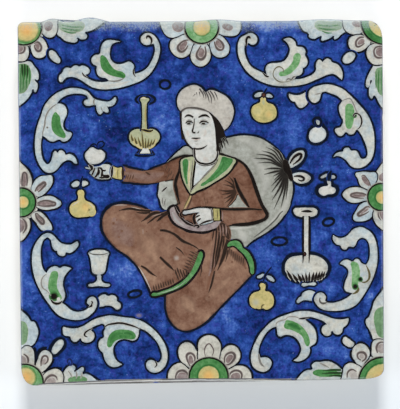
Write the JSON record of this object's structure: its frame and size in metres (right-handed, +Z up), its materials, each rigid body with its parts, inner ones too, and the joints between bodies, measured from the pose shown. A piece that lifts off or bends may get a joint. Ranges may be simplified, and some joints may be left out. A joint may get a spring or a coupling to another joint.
{
  "type": "persian tile",
  "caption": "Square glazed wall tile, painted with a seated figure, scrolling leaves and flowers on blue, with undercut sides.",
  "frame": {"origin": "middle of the back's plane, under the middle of the tile's bounding box", "axes": "+Z up out of the painted face, +Y towards the top of the picture, +X towards its right side"},
  "size_m": [0.202, 0.203, 0.02],
  "materials": {
    "fired_tile": "cobalt blue ground under a clear gloss glaze, bare pale body on the sides and back",
    "white_slip": "greyish white under clear gloss glaze",
    "copper_green": "leaf green under clear gloss glaze",
    "ochre_yellow": "soft yellow under clear gloss glaze",
    "manganese_brown": "warm brown under clear gloss glaze",
    "manganese_purple": "thin aubergine wash under clear gloss glaze",
    "chrome_black": "blackish outline colour under clear gloss glaze"
  },
  "bodies": {
    "root": {"tile": "fired_tile"}
  },
  "joints": []
}
